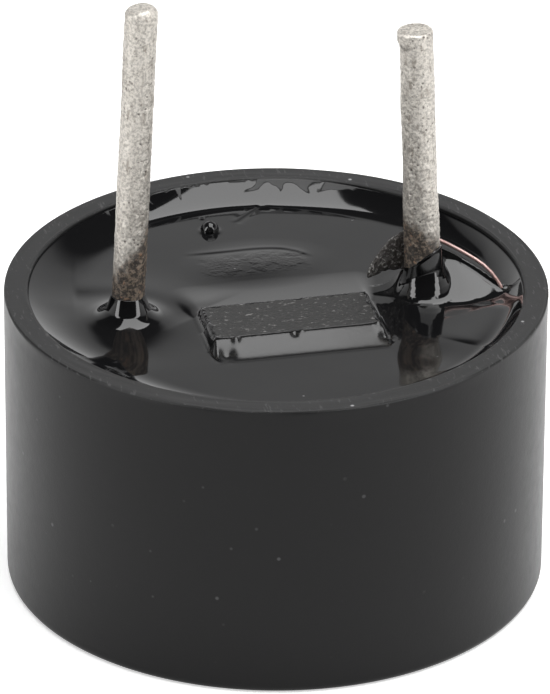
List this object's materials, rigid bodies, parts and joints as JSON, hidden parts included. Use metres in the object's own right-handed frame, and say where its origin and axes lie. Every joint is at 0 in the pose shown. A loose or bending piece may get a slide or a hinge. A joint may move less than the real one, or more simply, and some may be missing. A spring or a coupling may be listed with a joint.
{
  "type": "magnetic buzzer",
  "caption": "Small round active magnetic buzzer: black cup case with a sound hole, potted pin side, unequal leaning pins, and its sound unit and drive board inside.",
  "frame": {"origin": "centre of the sound face, which it stands on", "axes": "+Z from the sound face towards the pin tips, +X from the long pin towards the short pin"},
  "size_m": [0.009, 0.009, 0.0103],
  "materials": {
    "case_plastic": "fine matte moulded black plastic",
    "potting_compound": "glossy black cast compound",
    "tinned_pin": "dull tinned, granular",
    "solder": "rough tin solder, darkened by flux",
    "chip_moulding": "rough dark grey moulding",
    "enamelled_copper": "copper under clear enamel",
    "bare_copper": "etched copper foil",
    "board_laminate": "tan laminate",
    "support_plastic": "moulded",
    "spring_steel": "rolled bright",
    "soft_iron": "plated, satin",
    "ferrite": "sintered, dark grey",
    "capacitor_ceramic": "fired tan",
    "resistor_ceramic": "glazed black"
  },
  "bodies": {
    "root": {"case": "case_plastic", "diaphragm": "spring_steel", "armature_disc": "soft_iron", "support_ring": "support_plastic", "magnet_ring": "ferrite", "pole_core": "soft_iron", "drive_winding": "enamelled_copper", "feedback_winding": "enamelled_copper", "yoke_plate": "soft_iron", "circuit_board": "board_laminate", "board_copper": "bare_copper", "long_pin": "tinned_pin", "short_pin": "tinned_pin", "long_pin_solder": "solder", "short_pin_solder": "solder", "transistor_body": "chip_moulding", "transistor_emitter_lead": "tinned_pin", "transistor_base_lead": "tinned_pin", "transistor_collector_lead": "tinned_pin", "transistor_solder": "solder", "capacitor_body": "capacitor_ceramic", "capacitor_end_caps": "tinned_pin", "capacitor_solder": "solder", "resistor_body": "resistor_ceramic", "resistor_end_caps": "tinned_pin", "resistor_solder": "solder", "lead_wire_solder": "solder", "potting": "potting_compound", "common_lead_wire": "enamelled_copper", "drive_lead_wire": "enamelled_copper", "feedback_lead_wire": "enamelled_copper"}
  },
  "joints": []
}
